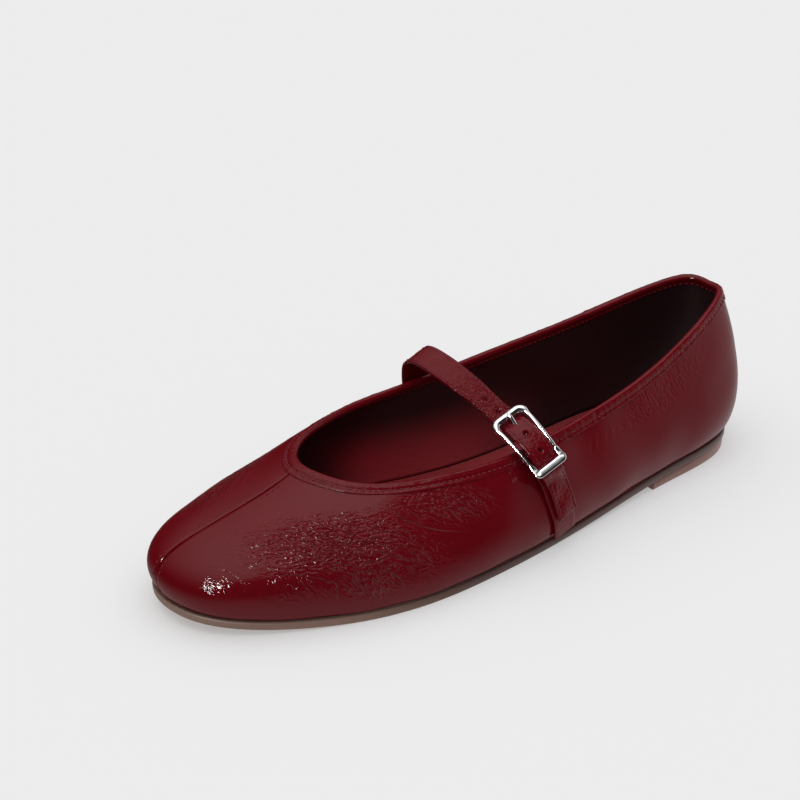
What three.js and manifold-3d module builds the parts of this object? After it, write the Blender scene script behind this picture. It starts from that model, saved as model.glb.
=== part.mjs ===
// Left mary jane flat: patent upper, leather straps with a steel buckle, thin sole and a low heel block.
// Millimetres. +X runs from heel to toe, +Y to the outer (lateral) side, +Z up. The shoe stands on z = 0.
import * as THREE from "three";
import Module from "manifold-3d";

// ---- Driving dimensions ----
const WALL = 1.8;                 // upper, patent face and lining together
const CLEARANCE = 0.3;            // between pieces that touch
const SOLE_THICKNESS = 2.7;
const SOLE_EDGE = 0.8;            // how far the sole stands out past the feather line
const HEEL_LIFT = 5;              // height of the sole's underside at the heel
const TOE_SPRING = 4.7;           // height of the sole's underside at the toe tip
const SEAT_X = 15;                // the heel seat is level up to here
const ARCH_RUN = 120;             // the sole comes down to the floor over this length
const TREAD_END_X = 185;          // the forefoot leaves the floor here
const TOE_X = 246.8;
const BREAST_X = 60;              // front face of the heel block
const INSOLE_THICKNESS = 2;
const INSOLE_INSET = 2.6;
const STRAP_THICKNESS = 1.4;
const ANCHOR_THICKNESS = 1;
const LIFT_OFF_UPPER = 0.6;       // air between the upper and a strap that lies on it
const TAB_THICKNESS = 1.5;
const ORIGIN = new THREE.Vector3(125.5, 2.4, 0);   // middle of the footprint

// The upper's sections, heel to toe. The feather line is where the upper meets the sole and the
// topline is its open edge: x, then the distance to the lateral and to the medial side.
// out and up are the handle of each rib at the feather line; lean and drop are the one at the topline.
const COLUMNS = ["fx", "fLat", "fMed", "tx", "tLat", "tMed", "zLat", "zMed", "out", "up", "lean", "drop"];
const SECTIONS = [
  [6, 0, 0, 9.5, 0, 0, 63, 63, 10, 12, 6.5, 16],                 // heel
  [18.5, 20, 20, 17, 12, 12.5, 61.5, 62.7, 9, 13, 5.5, 16],      // seat
  [52, 27.3, 26.6, 53, 22.5, 21.5, 49.5, 54, 6, 14, 4, 15],      // quarter
  [95, 34.5, 25, 92, 28.5, 25.5, 42, 48, 6, 12, 4, 12],          // waist
  [140, 41, 30, 129, 32, 26.5, 38.5, 44.3, 6, 12, 6, 10],        // instep
  [179, 42, 37.5, 158, 29, 25.6, 38, 42.3, 6, 13, 11.5, 8.5],    // ball
  [215.5, 31.5, 31, 179, 22, 19.5, 38.6, 41.4, 6.5, 15.5, 20, 13], // shoulder
  [240, 16, 19.5, 189.7, 11.3, 11, 40, 40.8, 9, 18, 27, 15],     // corner
  [TOE_X, -3, 3, 193.7, 0, 0, 41, 41, 10, 21, 29, 14.5],         // toe
].map((row) => Object.fromEntries(COLUMNS.map((name, i) => [name, row[i]])));
const HALF = SECTIONS.length - 1;
const LOOP = 2 * HALF;            // the sections run out along the lateral side and back along the medial

const RIBS = 96;
const RIB_STEPS = 12;

// ---- Curves ----
// Smooth curve through rows of numbers at increasing knots; a closed one joins its ends.
function spline(rows, knots, closed) {
  const n = rows.length;
  const gap = (i) => knots[i + 1] - knots[i];
  const at = (i) => (i + n) % n;
  const slope = rows.map((row) => row.map(() => 0));
  for (let pass = 0; pass < 60; pass += 1) {
    for (let i = 0; i < n; i += 1) {
      const first = !closed && i === 0;
      const last = !closed && i === n - 1;
      const before = first ? 0 : 1 / gap(closed ? (i + n - 1) % n : i - 1);
      const after = last ? 0 : 1 / gap(i);
      rows[i].forEach((value, k) => {
        const pull = before ? before * (3 * before * (value - rows[at(i - 1)][k]) - slope[at(i - 1)][k]) : 0;
        const push = after ? after * (3 * after * (rows[at(i + 1)][k] - value) - slope[at(i + 1)][k]) : 0;
        slope[i][k] = (pull + push) / (2 * (before + after));
      });
    }
  }
  return (u) => {
    const span = knots[knots.length - 1] - knots[0];
    const v = closed ? ((u % span) + span) % span : Math.min(Math.max(u, 0), span);
    let i = 0;
    while (i < knots.length - 2 && knots[i + 1] <= v) i += 1;
    const h = gap(i);
    const s = (v - knots[i]) / h;
    const j = at(i + 1);
    return rows[i].map((value, k) => (
      (2 * s ** 3 - 3 * s ** 2 + 1) * value + (s ** 3 - 2 * s ** 2 + s) * h * slope[i][k]
      + (3 * s ** 2 - 2 * s ** 3) * rows[j][k] + (s ** 3 - s ** 2) * h * slope[j][k]));
  };
}

// Height of the sole's top face: a raised seat, a smooth fall through the arch, flat tread, toe spring.
function soleTop(x) {
  const arch = THREE.MathUtils.clamp((x - SEAT_X) / ARCH_RUN, 0, 1);
  const toe = Math.max(x - TREAD_END_X, 0) / (TOE_X - TREAD_END_X);
  const fall = HEEL_LIFT * (1 + Math.cos(Math.PI * arch)) / 2;
  return SOLE_THICKNESS + CLEARANCE + fall + TOE_SPRING * toe ** 2;
}

const ringKnots = Array.from({ length: LOOP + 1 }, (_, i) => i);
const around = ringKnots.slice(0, LOOP).map((i) => ({
  row: SECTIONS[i <= HALF ? i : LOOP - i],
  lateral: i <= HALF,
}));
const feather = spline(around.map(({ row, lateral }) => [row.fx, lateral ? row.fLat : -row.fMed]), ringKnots, true);
const topline = spline(around.map(({ row, lateral }) => [
  row.tx, lateral ? row.tLat : -row.tMed, lateral ? row.zLat : row.zMed]), ringKnots, true);
const handles = spline(around.map(({ row }) => [row.out, row.up, row.lean, row.drop]), ringKnots, true);

// Level direction that points out of a ring curve.
function outward(curve, u) {
  const a = curve(u - 0.01);
  const b = curve(u + 0.01);
  return new THREE.Vector3(a[1] - b[1], b[0] - a[0], 0).normalize();
}

// Point of the upper's outside: u goes round the ring, t climbs the rib from feather line to topline.
function skin(u, t) {
  const [fx, fy] = feather(u);
  const [out, up, lean, drop] = handles(u);
  const foot = new THREE.Vector3(fx, fy, soleTop(fx));
  const rim = new THREE.Vector3(...topline(u));
  const low = foot.clone().addScaledVector(outward(feather, u), out).add(new THREE.Vector3(0, 0, up));
  const high = rim.clone().addScaledVector(outward(topline, u), lean).add(new THREE.Vector3(0, 0, -drop));
  return new THREE.CubicBezierCurve3(foot, low, high, rim).getPoint(t);
}

// Outward normal of that surface.
function skinNormal(u, t) {
  const step = 0.004;
  const t0 = Math.min(t, 1 - step);
  const along = skin(u + step, t).sub(skin(u - step, t));
  const rise = skin(u, t0 + step).sub(skin(u, Math.max(t0 - step, 0)));
  return rise.cross(along).normalize();
}

// The surface moved out by a distance; inwards where it is negative.
function skinAt(u, t, distance) {
  return skin(u, t).addScaledVector(skinNormal(u, t), distance);
}

// Where the skin of one side (+1 lateral, -1 medial) has a given x and height.
function findOnSide(side, x, z) {
  let u = 4;
  let t = 0.5;
  for (let pass = 0; pass < 30; pass += 1) {
    const here = skin(side > 0 ? u : LOOP - u, t);
    u = THREE.MathUtils.clamp(u + (x - here.x) / 42, 1, 7);
    t = THREE.MathUtils.clamp(t + (z - here.z) / 45, 0, 1);
  }
  return [side > 0 ? u : LOOP - u, t];
}

// ---- Solids ----
// Closed body from cross-sections that all have the same even number of corners. Each is ordered so that
// corner k faces corner (last - k) across the section, which is how the two ends are capped.
function loft(sections, closed) {
  const count = sections[0].length;
  const points = sections.flat();
  const faces = [];
  const quad = (a, b, c, d) => faces.push(a, b, c, a, c, d);
  const rings = closed ? sections.length : sections.length - 1;
  for (let i = 0; i < rings; i += 1) {
    const here = i * count;
    const next = ((i + 1) % sections.length) * count;
    for (let k = 0; k < count; k += 1) {
      const l = (k + 1) % count;
      quad(here + k, here + l, next + l, next + k);
    }
  }
  const end = (sections.length - 1) * count;
  for (let k = 0; !closed && k < count / 2 - 1; k += 1) {
    const m = count - 1 - k;
    quad(k, m, m - 1, k + 1);
    quad(end + k, end + k + 1, end + m - 1, end + m);
  }
  return solid(points, faces);
}

function solid(points, faces) {
  let volume = 0;
  for (let i = 0; i < faces.length; i += 3) {
    const [a, b, c] = [points[faces[i]], points[faces[i + 1]], points[faces[i + 2]]];
    volume += a.dot(b.clone().cross(c));
  }
  const geometry = new THREE.BufferGeometry();
  geometry.setAttribute("position", new THREE.Float32BufferAttribute(points.flatMap((p) => [p.x, p.y, p.z]), 3));
  geometry.setIndex(volume > 0 ? faces : faces.toReversed());
  return geometry;
}

const wasm = await Module();
wasm.setup();

function toManifold(geometry) {
  return new wasm.Manifold(new wasm.Mesh({
    numProp: 3,
    vertProperties: Float32Array.from(geometry.attributes.position.array),
    triVerts: Uint32Array.from(geometry.index.array),
  }));
}

function fromManifold(body) {
  const mesh = body.getMesh();
  const geometry = new THREE.BufferGeometry();
  geometry.setAttribute("position", new THREE.Float32BufferAttribute(mesh.vertProperties, 3));
  geometry.setIndex([...mesh.triVerts]);
  return geometry;
}

const shoe = new THREE.Group();
function add(name, geometry, color, roughness, metalness) {
  geometry.translate(-ORIGIN.x, -ORIGIN.y, -ORIGIN.z);
  geometry.computeVertexNormals();
  const mesh = new THREE.Mesh(geometry, new THREE.MeshStandardMaterial({ color, roughness, metalness }));
  mesh.name = name;
  shoe.add(mesh);
}

// ---- Upper: one hollow body, open at the topline and underneath ----
const upperRibs = Array.from({ length: RIBS }, (_, i) => {
  const u = (LOOP * i) / RIBS;
  const steps = Array.from({ length: RIB_STEPS + 1 }, (_step, j) => j / RIB_STEPS);
  const outside = steps.map((t) => skin(u, t));
  const inside = steps.map((t) => skinAt(u, t, -WALL));
  inside[0] = outside[0].clone().addScaledVector(outward(feather, u), -WALL);
  return [...outside, ...inside.reverse()];
});

// ---- Sole, insole and heel: slabs across the feather outline ----
// The outline is moved out by edge, and rounded at both ends by packing the sections there.
function slab(edge, top, bottom, lastU, across, lengthwise) {
  const sections = Array.from({ length: lengthwise + 1 }, (_, i) => {
    const ease = (1 - Math.cos((Math.PI * i) / lengthwise)) / 2;
    const u = THREE.MathUtils.lerp(0.02, lastU, ease);
    const place = (v) => {
      const [x, y] = feather(v);
      return new THREE.Vector3(x, y, 0).addScaledVector(outward(feather, v), edge);
    };
    const lateral = place(u);
    const medial = place(LOOP - u);
    const row = Array.from({ length: across + 1 }, (_step, j) => lateral.clone().lerp(medial, j / across));
    const raise = (height) => (p) => new THREE.Vector3(p.x, p.y, height(p.x));
    return [...row.map(raise(top)), ...row.map(raise(bottom)).reverse()];
  });
  return loft(sections, false);
}

const soleFace = (x) => soleTop(x) - CLEARANCE;
const soleUnderside = (x) => soleFace(x) - SOLE_THICKNESS;
const insoleFace = (x) => soleTop(x) + INSOLE_THICKNESS;
const heelTop = (x) => soleUnderside(x) - CLEARANCE;

function breastU() {
  let u = 1;
  while (feather(u)[0] < BREAST_X) u += 0.01;
  return u;
}

// ---- Straps ----
// Cross-section of a strap: a flat bar with its four edges taken off.
function barSection(centre, across, normal, width, thickness) {
  const bevel = thickness * 0.28;
  const w = width / 2;
  const h = thickness / 2;
  const corners = [[-w, h - bevel], [-w + bevel, h], [w - bevel, h], [w, h - bevel],
    [w, bevel - h], [w - bevel, -h], [bevel - w, -h], [-w, bevel - h]];
  return corners.map(([a, n]) => centre.clone().addScaledVector(across, a).addScaledVector(normal, n));
}

// Strap along a row of stations { at, width, across }; across points to the strap's toe side.
const ACROSS = new THREE.Vector3(1, 0.24, -0.2).normalize();
function strap(stations, thickness, steps) {
  const knots = [0];
  for (let i = 1; i < stations.length; i += 1) {
    knots.push(knots[i - 1] + stations[i].at.distanceTo(stations[i - 1].at));
  }
  const rows = stations.map(({ at, width, across }) => [...at.toArray(), width, ...across.toArray()]);
  const path = spline(rows, knots, false);
  const length = knots[knots.length - 1];
  const sections = Array.from({ length: steps + 1 }, (_, i) => {
    const s = (length * i) / steps;
    const [x, y, z, width, ...toeSide] = path(s);
    const ahead = new THREE.Vector3(...path(Math.min(s + 0.05, length)).slice(0, 3));
    const behind = new THREE.Vector3(...path(Math.max(s - 0.05, 0)).slice(0, 3));
    const along = ahead.sub(behind).normalize();
    const across = new THREE.Vector3(...toeSide);
    across.addScaledVector(along, -across.dot(along)).normalize();
    const normal = across.clone().cross(along);
    return barSection(new THREE.Vector3(x, y, z), across, normal, width, thickness);
  });
  return loft(sections, false);
}

function onSide(side, x, z, lift, width) {
  const [u, t] = findOnSide(side, x, z);
  const across = skin(u + side * 0.02, t).sub(skin(u - side * 0.02, t)).normalize();
  return { at: skinAt(u, t, lift), width, across };
}

// ---- Buckle ----
// Its own axes: a across (toe side), l down the strap, n out of the shoe; zero at the middle of the top bar.
const BUCKLE_TOP = new THREE.Vector3(126.5, 24.8, 49);
const BUCKLE_FOOT = new THREE.Vector3(121.4, 43, 36.1);
const BUCKLE_ACROSS = new THREE.Vector3(1, 0.1, -0.42);
const BUCKLE_LENGTH = BUCKLE_TOP.distanceTo(BUCKLE_FOOT);
const BUCKLE_L = BUCKLE_FOOT.clone().sub(BUCKLE_TOP).normalize();
const BUCKLE_A = BUCKLE_ACROSS.clone().addScaledVector(BUCKLE_L, -BUCKLE_ACROSS.dot(BUCKLE_L)).normalize();
const BUCKLE_N = BUCKLE_A.clone().cross(BUCKLE_L);
const HALF_WIDTH_TOP = 6.3;
const HALF_WIDTH_FOOT = 5.6;
const BAR_L = 15;
const BAR_N = -1.2;
const BAR_RADIUS = 0.9;
const STEP_L = 18.4;
const BOW = 0.9;
const DIP = 0.25;
const PRONG_RADIUS = 0.5;

function buckle(a, l, n) {
  return BUCKLE_TOP.clone().addScaledVector(BUCKLE_A, a).addScaledVector(BUCKLE_L, l).addScaledVector(BUCKLE_N, n);
}

const inBuckle = (l, n, width) => ({ at: buckle(0, l, n), width, across: BUCKLE_A });

// Frame: thick round top bar, thin sides that draw in a little, flat lower bar.
function frameGeometry() {
  const corners = [[1, 0, 2.4], [1, BUCKLE_LENGTH, 1.3], [-1, BUCKLE_LENGTH, 1.3], [-1, 0, 2.4]];
  const outline = corners.flatMap(([side, l, radius], i) => {
    const foot = l > 0;
    const halfWidth = foot ? HALF_WIDTH_FOOT : HALF_WIDTH_TOP;
    const centreA = side * (halfWidth - radius);
    const centreL = foot ? l - radius : radius;
    return Array.from({ length: 6 }, (_, k) => {
      const angle = -Math.PI / 2 + (Math.PI / 2) * (i + k / 5);
      return [centreA + radius * Math.cos(angle), centreL + radius * Math.sin(angle)];
    });
  });
  const dense = outline.flatMap(([a, l], i) => {
    const [a2, l2] = outline[(i + 1) % outline.length];
    const pieces = Math.hypot(a2 - a, l2 - l) > 4 ? 4 : 1;
    return Array.from({ length: pieces }, (_, k) => [a + ((a2 - a) * k) / pieces, l + ((l2 - l) * k) / pieces]);
  });
  const sections = dense.map(([a, l], i) => {
    const [a0, l0] = dense[(i + dense.length - 1) % dense.length];
    const [a1, l1] = dense[(i + 1) % dense.length];
    const size = Math.hypot(a1 - a0, l1 - l0);
    const out = [(l1 - l0) / size, -(a1 - a0) / size];
    const top = THREE.MathUtils.smoothstep(4 - l, 0, 3.4);
    const foot = THREE.MathUtils.smoothstep(l, BUCKLE_LENGTH - 1.6, BUCKLE_LENGTH - 0.2);
    const inPlane = 0.8 + 0.6 * top + 0.6 * foot;
    const depth = 1 + 0.3 * top - 0.25 * foot;
    const past = Math.max(l - STEP_L, 0) / (BUCKLE_LENGTH - STEP_L);
    const bow = BOW * Math.sin(Math.PI * Math.min(Math.max(l / STEP_L, 0), 1)) - DIP * Math.sin(Math.PI * past);
    return Array.from({ length: 8 }, (_, k) => {
      const angle = (Math.PI * (2 * k + 1)) / 8;
      const shift = inPlane * Math.cos(angle);
      return buckle(a + out[0] * shift, l + out[1] * shift, bow + depth * Math.sin(angle));
    });
  });
  return loft(sections, true);
}

// Round rod through points given in buckle axes.
function rod(points, radius, steps, sides) {
  const route = new THREE.CatmullRomCurve3(points.map(([a, l, n]) => buckle(a, l, n)), false, "centripetal");
  const sections = Array.from({ length: steps + 1 }, (_, i) => {
    const centre = route.getPointAt(i / steps);
    const along = route.getTangentAt(i / steps);
    const side = Math.abs(along.dot(BUCKLE_A)) > 0.9 ? BUCKLE_L : BUCKLE_A;
    const across = side.clone().addScaledVector(along, -side.dot(along)).normalize();
    const other = along.clone().cross(across);
    return Array.from({ length: sides }, (_side, k) => {
      const angle = (2 * Math.PI * k) / sides;
      return centre.clone().addScaledVector(across, radius * Math.cos(angle))
        .addScaledVector(other, radius * Math.sin(angle));
    });
  });
  return loft(sections, false);
}

// Block in buckle axes, used to cut the prong's slots.
function cutter(halfWidth, fromL, toL, fromN, toN) {
  const sections = [fromL, toL].map((l) => [
    buckle(-halfWidth, l, fromN), buckle(-halfWidth, l, toN), buckle(halfWidth, l, toN), buckle(halfWidth, l, fromN)]);
  return loft(sections, false);
}

// Strap: up the medial side, over the instep, through the buckle and down to its free tip.
const STRAP_LIFT = LIFT_OFF_UPPER + STRAP_THICKNESS / 2;
const FREE_LIFT = LIFT_OFF_UPPER + ANCHOR_THICKNESS + CLEARANCE + STRAP_THICKNESS / 2;
const ANCHOR_LIFT = LIFT_OFF_UPPER + ANCHOR_THICKNESS / 2;
const AT_RIM = new THREE.Vector3(1, 0.04, -0.2).normalize();
const arch = (x, y, z, width, across = ACROSS) => ({ at: new THREE.Vector3(x, y, z), width, across });
const instepStations = [
  onSide(-1, 115, 5.6, STRAP_LIFT, 12), onSide(-1, 118, 15, STRAP_LIFT, 12), onSide(-1, 122, 27, STRAP_LIFT, 12),
  onSide(-1, 126, 38, STRAP_LIFT, 12), arch(127.8, -29.2, 46.5, 12, AT_RIM), arch(128, -28.6, 52, 11.8),
  arch(126.9, -17.9, 53.8, 11.6), arch(127, -6.2, 53, 11.1), arch(127, 6, 51.5, 10.3),
  arch(126.3, 17.4, 48.7, 9.5), inBuckle(0, -2.7, 9.2), inBuckle(1.8, -1.9, 9.1), inBuckle(4, 0.1, 9.1),
  inBuckle(7, 1.5, 9.1), inBuckle(10.5, 2, 9.1), inBuckle(15, 2.1, 9), inBuckle(18.2, 0.9, 9),
  inBuckle(20.6, -1.4, 8.9), inBuckle(BUCKLE_LENGTH, -2.3, 8.9), onSide(1, 118.4, 28.3, FREE_LIFT + 2, 9.1),
  onSide(1, 115, 20.5, FREE_LIFT + 0.1, 9.3), onSide(1, 113, 14, FREE_LIFT, 9.4),
];

// Anchor strap: up the lateral side, round the buckle's centre bar and back under itself.
const foldRadius = BAR_RADIUS + CLEARANCE + ANCHOR_THICKNESS / 2;
const fold = (degrees) => {
  const angle = THREE.MathUtils.degToRad(degrees);
  return inBuckle(BAR_L - foldRadius * Math.sin(angle), BAR_N + foldRadius * Math.cos(angle), 9);
};
const anchorStations = [
  onSide(1, 111.4, 5.2, ANCHOR_LIFT, 10), onSide(1, 113.7, 13, ANCHOR_LIFT, 9.9),
  onSide(1, 116.6, 22, ANCHOR_LIFT, 9.6), onSide(1, 118.7, 28, ANCHOR_LIFT + 1, 9.3),
  inBuckle(BAR_L + 4.4, -3.6, 9), inBuckle(BAR_L + 2.7, -0.9, 9),
  fold(-25), fold(20), fold(65), fold(110), fold(155),
  inBuckle(BAR_L + 2.2, BAR_N - foldRadius - 0.4, 9),
];

const prongSlot = toManifold(cutter(0.95, 0.6, 8.4, -3, 3));
const foldSlot = toManifold(cutter(1, BAR_L - 3, BAR_L + 2.6, -4.2, 2.4));
const instepStrap = fromManifold(toManifold(strap(instepStations, STRAP_THICKNESS, 78)).subtract(prongSlot));
const buckleStrap = fromManifold(toManifold(strap(anchorStations, ANCHOR_THICKNESS, 40)).subtract(foldSlot));
const centreBar = rod([[-HALF_WIDTH_TOP, BAR_L, BAR_N], [0, BAR_L, BAR_N], [HALF_WIDTH_TOP, BAR_L, BAR_N]],
  BAR_RADIUS, 2, 10);
const buckleFrame = fromManifold(toManifold(frameGeometry()).add(toManifold(centreBar)));
const hookRadius = BAR_RADIUS + CLEARANCE + PRONG_RADIUS;
const hook = [165, 130, 95, 60, 30, 0].map((degrees) => {
  const angle = THREE.MathUtils.degToRad(degrees);
  return [0, BAR_L + hookRadius * Math.sin(angle), BAR_N + hookRadius * Math.cos(angle)];
});
const prong = rod([...hook, [0, 11, 0.3], [0, 7, 0.35], [0, 4, 1.1], [0, 1.6, 2.2], [0, -0.6, 2.2]],
  PRONG_RADIUS, 28, 8);

// ---- Heel tab: a narrow strip of patent that stands on the back of the upper ----
const TAB_HALF_U = 0.2;
const TAB_FROM = 0.62;
const TAB_TO = 0.97;
const tabSections = Array.from({ length: 7 }, (_, i) => {
  const u = THREE.MathUtils.lerp(-TAB_HALF_U, TAB_HALF_U, i / 6);
  const steps = Array.from({ length: 7 }, (_step, j) => THREE.MathUtils.lerp(TAB_FROM, TAB_TO, j / 6));
  const outside = steps.map((t) => skinAt(u, t, CLEARANCE + 0.1 + TAB_THICKNESS));
  const inside = steps.map((t) => skinAt(u, t, CLEARANCE + 0.1));
  return [...outside, ...inside.reverse()];
});

const BURGUNDY = 0x5a0f1a;
const INSOLE_RED = 0x4a0f17;
const TAN = 0x8c6959;
const HEEL_BROWN = 0x6e504b;
const STEEL = 0xc8c8ca;

add("outsole", slab(SOLE_EDGE, soleFace, soleUnderside, HALF - 0.02, 4, 44), TAN, 0.6, 0);
add("heel", slab(SOLE_EDGE - 0.6, heelTop, () => 0, breastU(), 4, 20), HEEL_BROWN, 0.6, 0);
add("insole", slab(-INSOLE_INSET, insoleFace, soleTop, HALF - 0.02, 4, 36), INSOLE_RED, 0.7, 0);
add("upper", loft(upperRibs, true), BURGUNDY, 0.15, 0);
add("heel_tab", loft(tabSections, false), BURGUNDY, 0.2, 0);
add("instep_strap", instepStrap, BURGUNDY, 0.2, 0);
add("buckle_strap", buckleStrap, BURGUNDY, 0.2, 0);
add("buckle_frame", buckleFrame, STEEL, 0.15, 1);
add("buckle_prong", prong, STEEL, 0.15, 1);

export default shoe;
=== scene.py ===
import bpy
from mathutils import Matrix
import numpy as np


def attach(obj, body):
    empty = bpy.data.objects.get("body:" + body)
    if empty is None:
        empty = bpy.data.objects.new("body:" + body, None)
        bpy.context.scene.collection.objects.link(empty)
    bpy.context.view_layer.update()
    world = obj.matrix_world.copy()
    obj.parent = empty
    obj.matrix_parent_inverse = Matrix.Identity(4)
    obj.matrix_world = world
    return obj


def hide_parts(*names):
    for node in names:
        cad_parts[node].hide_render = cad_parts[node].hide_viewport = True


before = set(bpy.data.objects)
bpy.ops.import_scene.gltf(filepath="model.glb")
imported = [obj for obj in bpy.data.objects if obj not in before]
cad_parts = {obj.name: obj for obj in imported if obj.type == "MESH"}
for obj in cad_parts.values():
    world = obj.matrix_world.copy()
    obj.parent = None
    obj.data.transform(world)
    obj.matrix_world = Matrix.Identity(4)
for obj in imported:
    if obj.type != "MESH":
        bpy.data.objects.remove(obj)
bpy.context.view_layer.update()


# ==== Insole ====
# A thin board covered in smooth burgundy leather. It is cut to the outline of the last, a little inside it,
# and lies in the shoe on top of the sole. The last's outline and curves start here, in millimetres.
MM = 0.001
ORIGIN = np.array([125.5, 2.4, 0])      # middle of the footprint, in the shoe's own measures
UP = np.array([0, 0, 1.0])

# The last, heel to toe: the feather line (f) is where the upper meets the sole, the topline (t) is its rim.
# x, distance to the lateral side, to the medial side; then how each rib leaves the feather line and the rim.
COLUMNS = "fx, fLat, fMed, tx, tLat, tMed, zLat, zMed, out, up, lean, drop".split(", ")
SECTIONS = [
    (6, 0, 0, 9.5, 0, 0, 63, 63, 10, 12, 6.5, 16),                      # heel
    (18.5, 20, 20, 17, 12, 12.5, 61.5, 62.7, 9, 13, 5.5, 16),           # seat
    (52, 27.3, 26.6, 53, 22.5, 21.5, 49.5, 54, 6, 14, 4, 15),           # quarter
    (95, 34.5, 25, 92, 28.5, 25.5, 42, 48, 6, 12, 4, 12),               # waist
    (140, 41, 30, 129, 32, 26.5, 38.5, 44.3, 6, 12, 6, 10),             # instep
    (179, 42, 37.5, 158, 29, 25.6, 38, 42.3, 6, 13, 11.5, 8.5),         # ball
    (215.5, 31.5, 31, 179, 22, 19.5, 38.6, 41.4, 6.5, 15.5, 20, 13),    # shoulder
    (240, 16, 19.5, 189.7, 11.3, 11, 40, 40.8, 9, 18, 27, 15),          # corner
    (246.8, -3, 3, 193.7, 0, 0, 41, 41, 10, 21, 29, 14.5),              # toe
]
HALF = len(SECTIONS) - 1
LOOP = 2 * HALF                         # ring numbers: out along the lateral side, back along the medial
SEAT_X, ARCH_RUN, HEEL_LIFT = 15, 120, 5
TREAD_END_X, TOE_X, TOE_SPRING = 185, 246.8, 4.7
SOLE_THICKNESS, CLEARANCE = 2.7, 0.3


def hermite(a, b, slope_a, slope_b, s):
    """Cubic from a to b as s goes from 0 to 1:
    (2s^3 - 3s^2 + 1) a + (s^3 - 2s^2 + s) slope_a + (3s^2 - 2s^3) b + (s^3 - s^2) slope_b."""
    return ((2 * s**3 - 3 * s**2 + 1) * a + (s**3 - 2 * s**2 + s) * slope_a
            + (3 * s**2 - 2 * s**3) * b + (s**3 - s**2) * slope_b)


def ring_curve(rows):
    """Closed smooth curve through rows at 0, 1, 2 ...: cubics whose slopes m solve
    m[i-1] + 4 m[i] + m[i+1] = 3 (row[i+1] - row[i-1])."""
    rows = np.array(rows, float)
    n = len(rows)
    system = 4 * np.eye(n) + np.roll(np.eye(n), 1, 1) + np.roll(np.eye(n), -1, 1)
    slopes = np.linalg.solve(system, 3 * (np.roll(rows, -1, 0) - np.roll(rows, 1, 0)))

    def at(u):
        u = np.asarray(u, float) % n
        i = np.floor(u).astype(int) % n
        j = (i + 1) % n
        return hermite(rows[i], rows[j], slopes[i], slopes[j], (u - np.floor(u))[..., None])
    return at


column = dict(zip(COLUMNS, np.array(SECTIONS).T))


def both_sides(lateral, medial):
    """A column for the whole ring: the lateral rows from heel to toe, then the medial ones back."""
    return np.concatenate([lateral, medial[-2:0:-1]])


def ring_of(*pairs):
    return ring_curve(np.stack([both_sides(lateral, medial) for lateral, medial in pairs], 1))


feather = ring_of((column["fx"], column["fx"]), (column["fLat"], -column["fMed"]))
topline = ring_of((column["tx"], column["tx"]), (column["tLat"], -column["tMed"]),
                  (column["zLat"], column["zMed"]))
handles = ring_of(*[(column[name], column[name]) for name in ("out", "up", "lean", "drop")])


def sole_top(x):
    """Height of the sole's upper face: a cosine fall from the raised seat to the tread, then toe spring
    that grows with the square of the distance past the tread."""
    fall = HEEL_LIFT * (1 + np.cos(np.pi * np.clip((x - SEAT_X) / ARCH_RUN, 0, 1))) / 2
    spring = TOE_SPRING * (np.maximum(x - TREAD_END_X, 0) / (TOE_X - TREAD_END_X)) ** 2
    return SOLE_THICKNESS + CLEARANCE + fall + spring


def lengths(vectors):
    return np.linalg.norm(vectors, axis=-1)


def unit(vectors):
    return vectors / lengths(vectors)[..., None]


def outward(curve, u):
    """Level direction out of a ring curve: the curve's own direction turned by a right angle."""
    along = curve(u + 0.01) - curve(u - 0.01)
    return unit(np.stack([-along[..., 1], along[..., 0], 0 * along[..., 0]], -1))


def skin(u, t):
    """Outside of the upper. Each rib is a cubic Bezier curve from the feather line (t = 0) to the topline
    (t = 1): it leaves the foot by out and up, and comes in to the rim from lean and drop."""
    u, t = np.broadcast_arrays(np.asarray(u, float), np.asarray(t, float))
    foot = feather(u)
    foot = np.stack([foot[..., 0], foot[..., 1], sole_top(foot[..., 0])], -1)
    rim = topline(u)
    handle = handles(u)
    low = foot + outward(feather, u) * handle[..., 0:1] + UP * handle[..., 1:2]
    high = rim + outward(topline, u) * handle[..., 2:3] - UP * handle[..., 3:4]
    t = t[..., None]
    return (1 - t) ** 3 * foot + 3 * (1 - t) ** 2 * t * low + 3 * (1 - t) * t**2 * high + t**3 * rim


def skin_normal(u, t):
    """Outward unit normal of the skin, from its two edge directions."""
    step = 0.004
    t = np.minimum(t, 1 - step)
    along = skin(u + step, t) - skin(u - step, t)
    rise = skin(u, t + step) - skin(u, np.maximum(t - step, 0))
    return unit(np.cross(rise, along))


def place(name, data):
    """Object of that name at the origin, from a mesh, camera or lamp."""
    thing = bpy.data.objects.new(name, data)
    bpy.context.scene.collection.objects.link(thing)
    return thing


def new_piece(name, body, material, slot, *nodes, **masks):
    """Closed mesh from a body: points in millimetres and arrays of face corners. Its faces are turned to
    point out if the volume they enclose comes out negative. masks are values from 0 to 1 on the points. The
    piece rides on the shoe's one body, takes its finish from material and stands for CAD nodes; slot is not
    used."""
    points, faces = body
    points = points - ORIGIN
    volume = 0.0
    for block in faces:
        for k in range(1, block.shape[1] - 1):
            a, b, c = (points[block[:, corner]] for corner in (0, k, k + 1))
            volume += np.einsum("ij,ij->", a, np.cross(b, c))
    if volume < 0:
        faces = [block[:, ::-1] for block in faces]
    mesh = bpy.data.meshes.new(name)
    mesh.from_pydata((points * MM).tolist(), [], [corners for block in faces for corners in block.tolist()])
    mesh.shade_smooth()
    for label, values in masks.items():
        layer = mesh.attributes.new(label, "FLOAT", "POINT")
        layer.data.foreach_set("value", np.full(len(points), np.ravel(values), np.float32))
    mesh.materials.append(material)
    piece = place(name, mesh)
    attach(piece, "root")
    if nodes:
        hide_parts(*nodes)


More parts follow.
